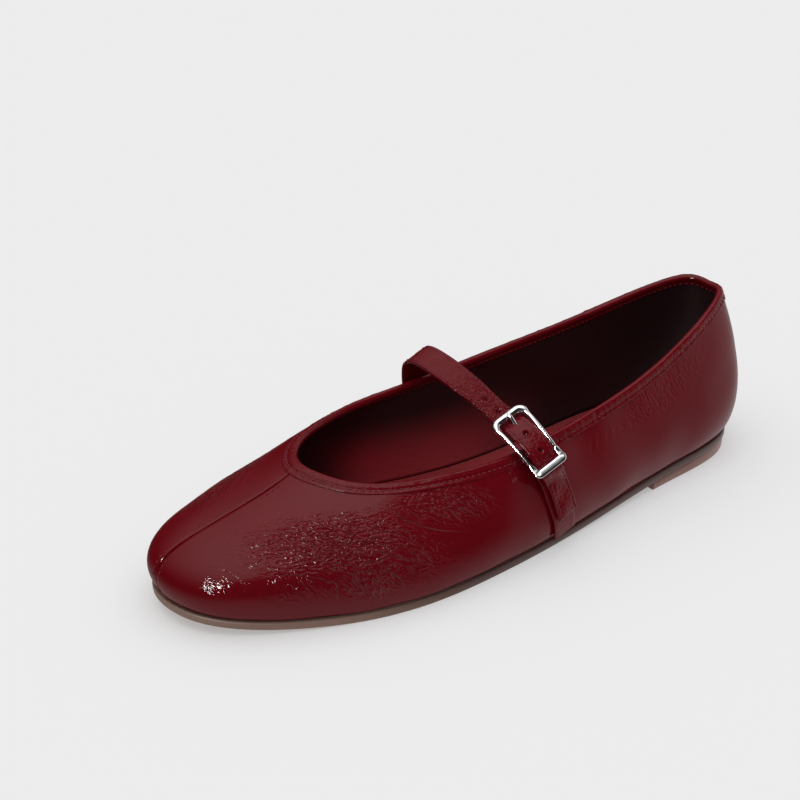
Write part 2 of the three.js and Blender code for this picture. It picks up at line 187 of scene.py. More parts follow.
def band_faces(rings, corners, closed):
    """Quads between neighbouring rings of a grid whose rings are closed loops of corners."""
    ring = np.arange(rings if closed else rings - 1)[:, None]
    corner = np.arange(corners)[None, :]
    after = (ring + 1) % rings
    beside = (corner + 1) % corners
    quads = np.stack([ring * corners + corner, ring * corners + beside,
                      after * corners + beside, after * corners + corner], -1)
    return quads.reshape(-1, 4)


def loft(sections, closed):
    """Points and faces of a body through sections (ring, corner, xyz). An open one gets its two ends closed
    by triangles that meet at the middle of the end section."""
    rings, corners = sections.shape[:2]
    points = sections.reshape(-1, 3)
    faces = [band_faces(rings, corners, closed)]
    if not closed:
        middles = np.stack([sections[0].mean(0), sections[-1].mean(0)])
        points = np.concatenate([points, middles])
        here = np.arange(corners)
        beside = (here + 1) % corners
        last = (rings - 1) * corners
        tip = np.full(corners, rings * corners)
        faces.append(np.stack([beside, here, tip], -1))
        faces.append(np.stack([last + here, last + beside, tip + 1], -1))
    return points, faces


SLAB_EDGE_POINTS, SLAB_FLAT_POINTS = 9, 11


def slab(edge, top, bottom, rounding, last_u, stations):
    """Flat piece over the last's outline, moved out by edge. Each section goes round from the lateral side
    under the piece to the medial side and back over the top. Its heights are top(x) and bottom(x), and its
    two sides are half circles."""
    u = 0.01 + (last_u - 0.01) * (1 - np.cos(np.pi * np.arange(stations + 1) / stations)) / 2
    sides = []
    for ring in (u, LOOP - u):
        line = np.concatenate([feather(ring), 0 * ring[:, None]], 1)
        sides.append(line + outward(feather, ring) * edge)
    lateral, medial = sides
    width = lengths(lateral - medial)[:, None]
    turn = np.linspace(np.pi / 2, -np.pi / 2, SLAB_EDGE_POINTS)
    inset = np.minimum(rounding, width * 0.4) * (1 - np.cos(turn)) / width
    flat = inset[:, -1:] + (1 - 2 * inset[:, -1:]) * np.linspace(0, 1, SLAB_FLAT_POINTS + 2)[1:-1]
    share = np.concatenate([inset, flat, 1 - inset[:, ::-1], 1 - flat], 1)[..., None]
    even = np.ones(SLAB_FLAT_POINTS)
    level = np.concatenate([np.sin(turn), -even, np.sin(turn[::-1]), even])
    points = lateral[:, None] * (1 - share) + medial[:, None] * share
    x = points[..., 0]
    points[..., 2] = (top(x) + bottom(x)) / 2 + (top(x) - bottom(x)) / 2 * level
    return loft(points, False)


def node(tree, kind, links=None, **settings):
    """One shader node. settings are its properties; links are its inputs, each a value or another output."""
    made = tree.nodes.new("ShaderNode" + kind)
    for name, value in settings.items():
        setattr(made, name, value)
    for socket, value in (links or {}).items():
        if isinstance(value, bpy.types.NodeSocket):
            tree.links.new(value, made.inputs[socket])
        else:
            made.inputs[socket].default_value = value
    return made


def maths(tree, operation, *values):
    return node(tree, "Math", dict(enumerate(values)), operation=operation).outputs[0]


def noise(tree, position, scale, detail, **more):
    """Soft noise from 0 to 1 whose lumps lie about 1 / scale apart."""
    links = {"Vector": position, "Scale": scale, "Detail": detail, **more}
    return node(tree, "TexNoise", links).outputs["Fac"]


def in_shoe(tree):
    """Place in the shoe, in metres."""
    return node(tree, "TexCoord").outputs["Object"]


def blend_colours(tree, share, first, second):
    """Colour that goes from first to second as share goes from 0 to 1."""
    return node(tree, "Mix", {0: share, 6: first, 7: second}, data_type="RGBA").outputs[2]


def grain_group(name, build, *inputs):
    """Node group whose Height and Tone come from build(group, its named inputs)."""
    group = bpy.data.node_groups.new(name, "ShaderNodeTree")
    for socket in inputs:
        kind = "NodeSocketVector" if socket in ("Position", "Folds") else "NodeSocketFloat"
        group.interface.new_socket(name=socket, in_out="INPUT", socket_type=kind)
    for socket in ("Height", "Tone"):
        group.interface.new_socket(name=socket, in_out="OUTPUT", socket_type="NodeSocketFloat")
    height, tone = build(group, group.nodes.new("NodeGroupInput").outputs)
    result = group.nodes.new("NodeGroupOutput")
    group.links.new(height, result.inputs["Height"])
    group.links.new(tone, result.inputs["Tone"])
    return group


def new_material(name, **sockets):
    """Material with one Principled shader. Underscores in a socket's name stand for spaces."""
    material = bpy.data.materials.new(name)
    material.use_nodes = True
    tree = material.node_tree
    shader = tree.nodes["Principled BSDF"]
    for socket, value in sockets.items():
        shader.inputs[socket.replace("_", " ")].default_value = value
    return material, tree, shader


def relief(tree, shader, height, depth):
    """Bump from a height between 0 and 1 that stands for a real depth in metres."""
    bump = node(tree, "Bump", {"Height": height, "Distance": depth, "Strength": 1.0})
    for layer in ("Normal", "Coat Normal"):
        tree.links.new(bump.outputs["Normal"], shader.inputs[layer])


def cover(tree, shader, group, depth, dark, light, **inputs):
    """Gives a shader a grain's relief, depth metres deep, and a colour that clouds from dark to light."""
    grain = node(tree, "Group", {"Position": in_shoe(tree), **inputs}, node_tree=group).outputs
    tree.links.new(blend_colours(tree, grain["Tone"], dark, light), shader.inputs["Base Color"])
    relief(tree, shader, grain["Height"], depth)


def plain(name, group, depth, dark, light, **sockets):
    """Matt material with a grain of its own."""
    material, tree, shader = new_material(name, **sockets)
    cover(tree, shader, group, depth, dark, light)
    return material


def leather_grain(group, given):
    """Pores and cloudy tone of plain leather. Height is fine noise about half a millimetre apart, cut by a
    coarser net; Tone is slow noise."""
    pores = noise(group, given["Position"], 1700.0, 3.0)
    links = {"Vector": given["Position"], "Scale": 900.0}
    net = node(group, "TexVoronoi", links, feature="DISTANCE_TO_EDGE").outputs["Distance"]
    creases = maths(group, "MINIMUM", net, 0.25)
    height = maths(group, "MULTIPLY_ADD", creases, 2.0, maths(group, "MULTIPLY", pores, 0.5))
    return height, noise(group, given["Position"], 45.0, 4.0)


LEATHER_GRAIN = grain_group("leather_grain", leather_grain, "Position")
PORE_DEPTH = 0.00003                    # metres
INSOLE_THICKNESS, INSOLE_INSET = 2, 2.6
TOE_END = HALF - 0.02                   # flat pieces end this close to the tip of the toe
insole_leather = plain("insole_leather", LEATHER_GRAIN, PORE_DEPTH, (0.23, 0.018, 0.023, 1),
                       (0.30, 0.026, 0.033, 1), Roughness=0.55, Specular_IOR_Level=0.35)
insole = slab(-INSOLE_INSET, lambda x: sole_top(x) + INSOLE_THICKNESS, sole_top, 1.0, TOE_END, 160)
new_piece("insole", insole, insole_leather, "insole_leather", "insole")


# ==== Lining ====
# Thin dark leather glued inside the patent. It covers the inner face of the upper from the insole to the
# rim, where the topline binding is folded over its edge.
WALL, LINING = 1.8, 0.5                 # thickness of the whole upper and of its lining
RINGS = 720


def soft_edge(tree, value, nothing, full):
    """Goes smoothly from 0 to 1 as value goes from nothing to full."""
    return node(tree, "MapRange", {"Value": value, "From Min": nothing, "From Max": full},
                interpolation_type="SMOOTHSTEP").outputs["Result"]


def paint_light_and_shade(material, colour, ramps):
    """Paints light and shade into a material by blending its colour towards another. A ramp is an axis of
    the shoe, then where its share of the blend is 0 and where it is 1, in metres; the blend is the product
    of the shares."""
    tree = material.node_tree
    shader = tree.nodes["Principled BSDF"]
    position = node(tree, "SeparateXYZ", {0: in_shoe(tree)}).outputs
    share = 1.0
    for axis, nothing, full in ramps:
        share = maths(tree, "MULTIPLY", share, soft_edge(tree, position[axis], nothing, full))
    before = shader.inputs["Base Color"].links[0].from_socket
    tree.links.new(blend_colours(tree, share, before, colour), shader.inputs["Base Color"])


# Low down, in front of the strap, the lining is painted redder. This is a painted pool of light where light
# through the opening falls on the low lining. It fades out towards the toe, where the vamp shades it, and
# towards the heel.
lining_leather = plain("lining_leather", LEATHER_GRAIN, PORE_DEPTH, (0.020, 0.0020, 0.0035, 1),
                       (0.034, 0.0032, 0.0055, 1), Roughness=0.5, Specular_IOR_Level=0.3)
paint_light_and_shade(lining_leather, (0.31, 0.019, 0.028, 1),
         [("X", 0.046, 0.018), ("X", -0.060, -0.005), ("Z", 0.031, 0.010)])


def lining_loop():
    """Sections of the lining round the ring: up its outer face and down its inner face, both the skin moved
    in along its normal. The lowest point goes straight in from the feather line."""
    u = LOOP * np.arange(RINGS) / RINGS
    t = np.linspace(0.012, 0.99, 40)
    faces = []
    for depth in (WALL - LINING, WALL):
        faces.append(skin(u[:, None], t) - depth * skin_normal(u[:, None], t))
    return np.concatenate([faces[0], faces[1][:, ::-1]], 1)


new_piece("lining", loft(lining_loop(), True), lining_leather, "patent_leather")


# ==== Upper halves ====
# Two panels of crinkled patent leather, lateral and medial. They are closed along the middle of the vamp and
# down the back of the heel by turned seams, and lasted under at the feather line.
PATENT = WALL - LINING - 0.05           # thickness of the patent leather
SEAM_GAP = 0.006                        # half the slit between the halves, in ring numbers


def patent_grain(group, given):
    """Surface of crinkled patent. Fine worm-like folds are the crest lines of noise over the place Folds,
    which is in fold spacings; they show where Crinkle is above 0. A faint orange peel is everywhere."""
    folds = noise(group, given["Folds"], 1.15, 0.6, Roughness=0.4, Distortion=0.6)
    peel = noise(group, given["Position"], 420.0, 2.0)
    spread = maths(group, "ABSOLUTE", maths(group, "MULTIPLY_ADD", folds, 5.0, -2.5))
    crest = maths(group, "SUBTRACT", 1.0, maths(group, "MINIMUM", spread, 1.0))
    worms = maths(group, "MULTIPLY", crest, given["Crinkle"])
    return maths(group, "MULTIPLY_ADD", peel, 0.02, worms), noise(group, given["Position"], 55.0, 3.0)


PATENT_GRAIN = grain_group("patent_grain", patent_grain, "Position", "Folds", "Crinkle")
FOLD_DEPTH = 0.00054
LACQUER = dict(Roughness=0.4, Specular_IOR_Level=0.0, Coat_Weight=0.34, Coat_Roughness=0.04, Coat_IOR=1.5)
BURGUNDY = ((0.110, 0.0022, 0.0052, 1), (0.140, 0.0034, 0.0078, 1))


def patent(name, own_folds):
    """Lacquered leather: burgundy under a clear coat. A piece with own_folds keeps on its points where it
    lies in the pattern of folds; on the others the pattern follows their place in the shoe."""
    material, tree, shader = new_material(name, **LACQUER)
    mask, along, across = (node(tree, "Attribute", attribute_name=label).outputs["Fac"]
                           for label in ("crinkle", "fold_along", "fold_across"))
    if own_folds:
        folds = node(tree, "CombineXYZ", {"X": along, "Y": across}).outputs["Vector"]
    else:
        folds = node(tree, "Mapping", {"Vector": in_shoe(tree), "Scale": (450, 800, 800)}).outputs["Vector"]
    cover(tree, shader, PATENT_GRAIN, FOLD_DEPTH, *BURGUNDY, Folds=folds, Crinkle=mask)
    return material


upper_leather = patent("crinkled_patent", True)
patent_leather = patent("patent_leather", False)


def waves(a, b, wavelength, stretch, seed, count=40):
    """Labyrinth of folds: the sum of count cosines over the plane (a, b), all about one wavelength apart.
    Their directions are random, and stretch below 1 lengthens the folds along a."""
    draw = np.random.default_rng(seed)
    angle = draw.uniform(0, 2 * np.pi, count)
    along, across = stretch * np.cos(angle), np.sin(angle)
    size = 2 * np.pi / (wavelength * draw.uniform(0.8, 1.3, count)) / np.hypot(along, across)
    phase = draw.uniform(0, 2 * np.pi, count)
    total = np.zeros(np.broadcast_shapes(a.shape, b.shape))
    for k in range(count):
        total += np.cos(size[k] * (along[k] * a + across[k] * b) + phase[k])
    return total / np.sqrt(count / 2)


# Crinkled patches of the upper: ring number and rib height of the middle, half length and half height in
# millimetres, the turn of the patch and of its folds in degrees, how far apart the folds are and how many
# times longer they are than that, the depth of the lumps under them, and the weight of the folds.
PATCH_COLUMNS = "u, t, length, height, turn, folds, spacing, stretch, lumps, weight".split(", ")
PATCHES = [dict(zip(PATCH_COLUMNS, row)) for row in [
    (6.15, 0.655, 29, 10.5, 6, 14, 1.35, 2.2, 0.040, 1.0),      # the ball, where the foot bends
    (4.95, 0.76, 15, 6.5, 4, 32, 1.30, 2.8, 0.030, 0.7),        # below the topline
    (5.50, 0.30, 10, 6.0, 10, 52, 1.40, 2.8, 0.030, 0.9),       # the side wall of the ball
    (6.15, 0.33, 12, 5.0, 4, 60, 1.40, 2.6, 0.030, 0.45),       # further on, towards the toe
    (7.05, 0.30, 7, 5.0, 0, 10, 1.00, 2.0, 0.010, 0.12),        # the lateral side of the toe
    (2.10, 0.78, 24, 7.0, 0, 78, 1.70, 3.0, 0.015, 0.12),       # the quarter
]]
PATTERN_APART = 20                      # fold spacings between the patterns of two patches
LUMP_SPACING, UNEVEN_SPACING = 4.0, 24  # of the lumps in a patch, and of the faint unevenness everywhere


def on_ring(u, side):
    """Ring number of a place on the lateral side (1), or of its mirror image on the medial side (-1)."""
    return u if side > 0 else LOOP - u


def crinkle(points, side, seed):
    """Relief of the lumps, mask of the folds and place in their pattern. In each patch, a is the distance
    along the ring and b the distance up the skin at right angles to it, both turned with the patch; it fades
    as exp(-((a / length)^2 + (b / height)^2)^1.5). The strongest patch at a point sets its pattern."""
    shape = points.shape[:-1]
    height, mask, along_fold, across_fold = (np.zeros(shape) for _ in range(4))
    for number, patch in enumerate(PATCHES):
        u, t = on_ring(patch["u"], side), patch["t"]
        middle = skin(u, t)
        along = unit(skin(u + 0.01 * side, t) - skin(u - 0.01 * side, t))
        rise = skin(u, t + 0.01) - skin(u, t - 0.01)
        rise = unit(rise - (rise @ along) * along)
        a, b = (points - middle) @ along, (points - middle) @ rise
        turned = []
        for degrees in (patch["turn"], patch["folds"]):
            cos, sin = np.cos(np.radians(degrees)), np.sin(np.radians(degrees))
            turned.append((a * cos + b * sin, b * cos - a * sin))
        (a0, b0), (a1, b1) = turned
        fade = patch["weight"] * np.exp(-((a0 / patch["length"]) ** 2 + (b0 / patch["height"]) ** 2) ** 1.5)
        height += fade * patch["lumps"] * np.tanh(1.4 * waves(a1, b1, LUMP_SPACING, 0.45, seed + number))
        stronger = fade > mask
        mask = np.where(stronger, fade, mask)
        place_along = a1 / patch["spacing"] / patch["stretch"] + PATTERN_APART * number
        along_fold = np.where(stronger, place_along, along_fold)
        across_fold = np.where(stronger, b1 / patch["spacing"], across_fold)
    return height, {"crinkle": mask, "fold_along": along_fold, "fold_across": across_fold}


def bell(x, middle, width):
    """1 in the middle and 0 far away: exp(-((x - middle) / width)^2)."""
    return np.exp(-(((x - middle) / width) ** 2))


def trough(points, path, width, depth):
    """Soft crease along a path: at distance d from it the leather sinks by depth exp(-(d / width)^2) and
    rises by a third of that in a ridge on either side. It fades towards the two ends of the path."""
    near = np.full(points.shape[:-1], np.inf)
    share = np.zeros(points.shape[:-1])
    pieces = len(path) - 1
    for i in range(pieces):
        step = path[i + 1] - path[i]
        s = np.clip((points - path[i]) @ step / (step @ step), 0, 1)
        distance = lengths(points - path[i] - s[..., None] * step)
        closer = distance < near
        near = np.where(closer, distance, near)
        share = np.where(closer, (i + s) / pieces, share)
    fade = np.sqrt(np.sin(np.pi * np.clip(share, 0.001, 0.999)))
    return depth * fade * (bell(near, 1.9 * width, width) / 3 - bell(near, 0, width))


# Creases pressed in by wear and lasting. Each goes between two places given as ring number and rib height,
# bows sideways by a part of the rib, and has a width and a depth in millimetres.
CREASE_COLUMNS = "u0, t0, u1, t1, bow, width, depth".split(", ")
CREASES = [dict(zip(CREASE_COLUMNS, row)) for row in [
    (4.66, 0.83, 4.30, 0.58, 0.02, 0.45, 0.22),         # long thin crease in front of the strap
    (4.42, 0.76, 4.24, 0.68, 0.00, 0.35, 0.12),         # two short ones behind it
    (4.34, 0.66, 4.16, 0.58, 0.01, 0.35, 0.12),
    (7.35, 0.60, 4.90, 0.86, -0.04, 5.0, 0.30),         # broad fold across the ball
    (7.10, 0.45, 5.20, 0.58, -0.03, 4.0, 0.22),         # two more below it
    (6.60, 0.24, 5.00, 0.30, 0.02, 3.0, 0.15),
    (3.60, 0.60, 2.60, 0.70, 0.03, 5.0, 0.15),          # slack in the waist
    (1.50, 0.45, 0.60, 0.62, 0.02, 5.0, 0.18),          # side of the heel
]]
# Rows of small pleats: ring number of the first and last, how many, the rib height where they start, their
# shortest and longest length as a part of the rib, their lean in ring numbers, width and depth.
PLEAT_COLUMNS = "first, last, count, top, short, long, lean, width, depth".split(", ")
PLEATS = [dict(zip(PLEAT_COLUMNS, row)) for row in [
    (2.60, 1.40, 22, 0.885, 0.05, 0.22, -0.07, 0.40, 0.040),    # quarter, behind the strap
    (5.45, 4.55, 16, 0.905, 0.03, 0.10, 0.10, 0.34, 0.045),     # below the topline, in front of the strap
    (6.60, 5.10, 14, 0.42, 0.05, 0.11, 0.18, 0.45, 0.030),      # side wall of the ball
    (3.05, 2.75, 4, 0.80, 0.10, 0.20, 0.02, 0.55, 0.050),       # a few deep ones beside the strap
]]


def crease_paths(side, seed):
    """Every crease and pleat as (path, width, depth): points on the skin between its two ends, with the
    middle moved up the rib by its bow. Pleats are drawn from their rows with a seeded unevenness."""
    draw = np.random.default_rng(seed)
    rows = [tuple(crease.values()) for crease in CREASES]
    for row in PLEATS:
        for u in np.linspace(row["first"], row["last"], row["count"]):
            start = u + draw.uniform(-0.02, 0.02)
            top = row["top"] + draw.uniform(-0.02, 0.01)
            reach = draw.uniform(row["short"], row["long"])
            end = start + row["lean"] * draw.uniform(0.6, 1.3)
            size = draw.uniform(0.7, 1.2)
            rows.append((start, top, end, top - reach, 0.0, row["width"] * size, row["depth"] * size))
    share = np.linspace(0, 1, 6)
    paths = []
    for u0, t0, u1, t1, bow, width, depth in rows:
        u = u0 + (u1 - u0) * share
        t = t0 + (t1 - t0) * share + bow * np.sin(np.pi * share)
        paths.append((skin(on_ring(u, side), t), width, depth))
    return paths


def ring_speed(u, t):
    """Millimetres along the skin for one ring number."""
    return lengths(skin(u + 0.01, t) - skin(u - 0.01, t)) / 0.02


def seam_dip(u, t):
    """How far the skin sinks towards a turned seam: a rounded lip, wider at the tip of the toe
    where the seam allowance is gathered, and nothing more than 2 mm away."""
    distance = np.minimum(np.abs(u - HALF), np.minimum(u, LOOP - u)) * ring_speed(u, t)
    notch = bell(t, 0, 0.14) * (np.abs(u - HALF) < 2)
    width = 0.38 + 0.45 * notch
    return 0.03 * bell(distance, 1.2, 0.6) - (0.26 + 0.5 * notch) * bell(distance, 0, width)


def plateau(x, start, start_soft, end, end_soft):
    """1 between start and end and 0 outside: the product of two logistic steps with their own softness."""
    return 1 / (1 + np.exp(-(x - start) / start_soft)) / (1 + np.exp((x - end) / end_soft))


COLUMNS_PER_HALF = 470
RIB_POINTS, INSIDE_POINTS = 165, 9      # up the outside and up the inside of a column
TUCK_HEIGHT, TUCK_DEPTH = 1.3, 0.75     # the lowest strip of the upper rolls in towards the sole


def half_columns(side):
    """Ring numbers of one half, evenly spaced along the shoe and three times as close over the vamp, where
    the folds are finest."""
    u = np.linspace(SEAM_GAP, HALF - SEAM_GAP, 2000)
    length = lengths(np.diff(skin(u, 0.55), axis=0))
    middle = (u[1:] + u[:-1]) / 2
    weight = 1 + 2.2 * plateau(middle, 4.6, 0.08, 7.5, 0.08)
    reach = np.concatenate([[0], np.cumsum(length * weight)])
    return on_ring(np.interp(np.linspace(0, reach[-1], COLUMNS_PER_HALF), reach, u), side)


def panel(side, seed):
    """One half of the upper, a closed shell: the skin with its relief outside, the skin moved in by the
    leather's thickness inside, joined along the rim, the feather line and both seams."""
    u = half_columns(side)[:, None]
    t = np.linspace(0, 1, RIB_POINTS)[None]
    base, normal = skin(u, t), skin_normal(u, t)
    lumps, masks = crinkle(base, side, seed)
    lift = lumps + seam_dip(u, t)
    for path, width, depth in crease_paths(side, seed + 50):
        low, high = path.min(0) - 4 * width, path.max(0) + 4 * width
        inside = np.all((base > low) & (base < high), axis=-1)
        lift[inside] += trough(base[inside], path, width, depth)
    lift += 0.07 * waves(base[..., 0], base[..., 1] + base[..., 2], UNEVEN_SPACING, 0.7, seed + 90, 14)
    climb = np.cumsum(np.concatenate([0 * u, lengths(np.diff(base, axis=1))], 1), 1)
    lift -= TUCK_DEPTH * np.clip(1 - climb / TUCK_HEIGHT, 0, 1) ** 2
    outside = base + lift[..., None] * normal
    t = np.linspace(0, 1, INSIDE_POINTS)[None]
    inside = skin(u, t) - PATENT * skin_normal(u, t)
    return shell(outside, inside, masks)


def shell(outside, inside, masks):
    """Body and masks of a shell between two grids with the same columns and their own rows. Its end columns
    are closed by triangles from each outer row to the nearest inner one."""
    columns, rows = outside.shape[:2]
    few = inside.shape[1]
    points = np.concatenate([outside.reshape(-1, 3), inside.reshape(-1, 3)])
    masks = {label: np.concatenate([mask.ravel(), np.zeros(columns * few)]) for label, mask in masks.items()}
    start = columns * rows

    def grid(count, first, flip):
        i, j = np.meshgrid(np.arange(columns - 1), np.arange(count - 1), indexing="ij")
        here = first + i * count + j
        quads = np.stack([here, here + count, here + count + 1, here + 1], -1).reshape(-1, 4)
        return quads[:, ::-1] if flip else quads

    i = np.arange(columns - 1)
    rim_out, rim_in = i * rows + rows - 1, start + i * few + few - 1
    foot_out, foot_in = i * rows, start + i * few
    faces = [grid(rows, 0, False), grid(few, start, True)]
    faces.append(np.stack([rim_out, rim_out + rows, rim_in + few, rim_in], -1))
    faces.append(np.stack([foot_in, foot_in + few, foot_out + rows, foot_out], -1))
    j = np.arange(rows - 1)
    match = np.round(np.arange(rows) * (few - 1) / (rows - 1)).astype(int)
    steps = j[match[1:] != match[:-1]]
    for column, flip in ((0, False), (columns - 1, True)):
        outer, inner = column * rows, start + column * few
        fans = np.stack([outer + j, outer + j + 1, inner + match[j]], -1)
        fills = np.stack([outer + steps + 1, inner + match[steps + 1], inner + match[steps]], -1)
        ends = np.concatenate([fans, fills])
        faces.append(ends[:, ::-1] if flip else ends)
    return (points, faces), masks


for name, side, seed in (("upper_lateral", 1, 3), ("upper_medial", -1, 11)):
    body, masks = panel(side, seed)
    new_piece(name, body, upper_leather, "patent_leather", "upper", **masks)


# ==== Topline binding ====
# A narrow strip of the same patent leather, folded over the rim of the upper and the lining: a round bead on
# the rim, a flange on either side. It is stitched through just below the bead and joined on the medial side.
BINDING_RINGS = 1000
BEAD_WIDE, BEAD_TALL = 1.38, 1.25       # half sizes of the bead across the wall and along the rib
FLANGE_LIFT = 0.42                      # how far the flange stands out from the patent
JOINT_U = 13.97                         # where the strip's two ends overlap


def chords(points):
    """Distance of each point along the line through all of them."""
    return np.concatenate([[0], np.cumsum(lengths(np.diff(points, axis=0)))])


def rib_height(u, below):
    """Rib height t of the points that lie the given distances below the rim, measured along the rib: each
    rib's length is added up from the rim down, and t is read off it in proportion."""
    t = np.linspace(1, 0.5, 101)
    steps = lengths(np.diff(skin(u[:, None], t), axis=1))
    reach = np.cumsum(np.concatenate([0 * u[:, None], steps], 1), 1)
    after = np.clip((reach[:, None, :] < below[..., None]).sum(-1), 1, 100)
    low, high = (np.take_along_axis(reach, index, 1) for index in (after - 1, after))
    return t[after - 1] + (t[after] - t[after - 1]) * (below - low) / (high - low)


def at_rim(u, below, lift):
    """Points a distance below the rim (above it where negative) and out from the skin by lift."""
    t = rib_height(u, np.maximum(below, 0))
    down = unit(skin(u, 0.99) - skin(u, 1.0))[:, None]
    return (skin(u[:, None], t) + lift[..., None] * skin_normal(u[:, None], t)
            + np.minimum(below, 0)[..., None] * down)


def flange_width(u):
    """Depth of the outer flange: 4.4 mm, and a soft rise to 5.6 mm round the throat."""
    return 4.4 + 1.2 * bell(u, HALF, 1.0)


def stitch_line(u):
    """Distance of the outer stitch row below the rim."""
    return 0.64 * flange_width(u)


INNER_FLANGE, INNER_STITCH = 3.9, 3.1


def binding_section(u):
    """The strip's outline at each ring number, as distance below the rim and lift from the skin: up the
    outer flange with its stitch trough, over the bead as an ellipse, down the inner flange and back."""
    one = np.ones_like(u)
    edge, stitch = flange_width(u), stitch_line(u)
    outer = [(edge, -0.2), (edge, 0.12), (edge - 0.1, 0.32), (edge - 0.35, FLANGE_LIFT),
             (stitch + 0.8, FLANGE_LIFT), (stitch + 0.5, 0.30), (stitch, 0.20), (stitch - 0.5, 0.30),
             (stitch - 0.85, 0.47), (1.75 * one, 0.50), (1.5 * one, 0.49)]
    turn = np.radians(np.linspace(-14, 230, 21))
    bead = [((0.95 - BEAD_TALL * np.sin(angle)) * one, BEAD_WIDE * np.cos(angle) - WALL / 2)
            for angle in turn]
    inner = [(2.2, -1.95), (2.5, -2.12), (INNER_STITCH - 0.3, -2.15), (INNER_STITCH, -2.02),
             (INNER_STITCH + 0.3, -2.15), (INNER_FLANGE - 0.1, -2.06), (INNER_FLANGE, -1.88),
             (INNER_FLANGE, -1.6), (2.6, -1.2)]
    rows = outer + bead + [(below * one, lift) for below, lift in inner] + [(edge - 0.9, -0.7)]
    return np.stack([below for below, _ in rows], 1), np.stack([lift * one for _, lift in rows], 1)


u = LOOP * np.arange(BINDING_RINGS) / BINDING_RINGS
below, lift = binding_section(u)
rim_length = chords(topline(np.append(u, LOOP)))[1:]
past_joint = (rim_length - np.interp(JOINT_U, u, rim_length))[:, None] - 0.35 * below
overlap = 0.16 * (1 + np.tanh(past_joint / 0.2)) * np.exp(-np.maximum(past_joint, 0) / 9)
lift = lift + np.where(lift > -0.9, overlap, -overlap * 0.6) * (np.abs(lift + 0.9) > 0.5)
points = at_rim(u, below, lift)
pucker = waves(points[..., 0], points[..., 1], 3.2, 1.0, 71) * 0.035
slack = waves(points[..., 0], points[..., 1], 15, 1.0, 72, 12) * 0.05
points += ((pucker + slack) * (lift > -0.1))[..., None] * skin_normal(u, 0.97)[:, None]
mask = np.repeat(0.04 + 0.14 * bell(u, HALF, 2.2)[:, None], below.shape[1], 1)
new_piece("topline_binding", loft(points, True), patent_leather, "patent_leather", crinkle=mask)


# ==== Stitching of the upper ====
# Fine burgundy thread: one row through the binding, seen outside and inside, and a row on either side of the
# seam of the vamp. Every stitch is a small round bar with its ends pulled down into the leather.
thread, tree, shader = new_material("thread", Roughness=0.5, Specular_IOR_Level=0.2)
fibre = noise(tree, in_shoe(tree), 2600.0, 1.0)
tree.links.new(blend_colours(tree, fibre, (0.10, 0.006, 0.010, 1), (0.22, 0.024, 0.033, 1)),
               shader.inputs["Base Color"])
STITCH_SIDES, STITCH_RINGS = 6, 6
STITCH_PITCH, STITCH_LENGTH, STITCH_THICKNESS = 2.2, 1.5, 0.32


def stitches(path, normals, pitch=STITCH_PITCH, length=STITCH_LENGTH, thickness=STITCH_THICKNESS):
    """Stitches a pitch apart along a path of points. Each is a spindle: at p from -1 to 1 along it, its
    radius is thickness / 2 (1 - p^4)^(1/2), and it sinks by half its thickness p^2."""
    reach = chords(path)
    count = int(reach[-1] / pitch)
    middle = (np.arange(count) + 0.5) * reach[-1] / count

    def along(values, places):
        return np.stack([np.interp(places, reach, values[:, axis]) for axis in range(3)], -1)

    centre, normal = along(path, middle), unit(along(normals, middle))
    ahead = along(path, middle + 0.3) - along(path, middle - 0.3)
    ahead = unit(ahead - normal * np.sum(ahead * normal, -1, keepdims=True))
    side = np.cross(normal, ahead)
    p = np.linspace(-1, 1, STITCH_RINGS + 1)[:, None]
    angle = 2 * np.pi * np.arange(STITCH_SIDES) / STITCH_SIDES
    radius = thickness / 2 * np.sqrt(np.maximum(1 - p**4, 0.02))
    offsets = np.stack(np.broadcast_arrays(p * length / 2, radius * np.cos(angle),
                                           radius * np.sin(angle) - thickness / 2 * p**2), -1)
    basis = np.stack([ahead, side, normal], 1)
    sections = centre[:, None, None] + np.einsum("rsk,nkx->nrsx", offsets, basis)
    return join([loft(stitch, False) for stitch in sections])


def join(parts):
    """Several bodies as one."""
    points, faces, start = [], [], 0
    for body, blocks in parts:
        points.append(body)
        faces += [block + start for block in blocks]
        start += len(body)
    return np.concatenate(points), faces


def rows_beside(middle, aside, t, lift):
    """A row of stitches up the skin on either side of a middle ring number: aside is its distance from it in
    ring numbers at each t, and lift its height above the skin."""
    rows = []
    for side in (-1, 1):
        u = middle + side * aside
        normal = skin_normal(u, t)
        rows.append(stitches(skin(u, t) + lift * normal, normal))
    return join(rows)


u = LOOP * np.arange(901) / 900
rows = []
for below, lift, facing in ((stitch_line(u), 0.33, 1), (INNER_STITCH + 0 * u, -2.10, -1)):
    path = at_rim(u, below[:, None], np.full((len(u), 1), lift))[:, 0]
    rows.append(stitches(path, facing * skin_normal(u, 0.95), pitch=2.15, thickness=0.46))
new_piece("binding_stitches", join(rows), thread, "patent_leather")

SEAM_ROW = 2.0                          # stitch rows lie this far from the seam of the vamp
t = np.linspace(0.12, 0.915, 160)
seam_rows = rows_beside(HALF, SEAM_ROW / ring_speed(HALF, t), t, 0.03)
new_piece("vamp_stitches", seam_rows, thread, "patent_leather")


# ==== Heel tab ====
# A narrow strip of patent leather, folded double and sewn over the seam at the back of the heel. It stands
# proud of the upper, with its long edges rounded and its top tucked under the binding.
TAB_HALF_U = 0.2
TAB_FROM, TAB_TO = 0.62, 0.97
TAB_LIFT, TAB_THICKNESS, TAB_EDGE = 0.35, 1.5, 0.6
TAB_ROW = 1.3                           # stitch rows lie this far in from the tab's edges


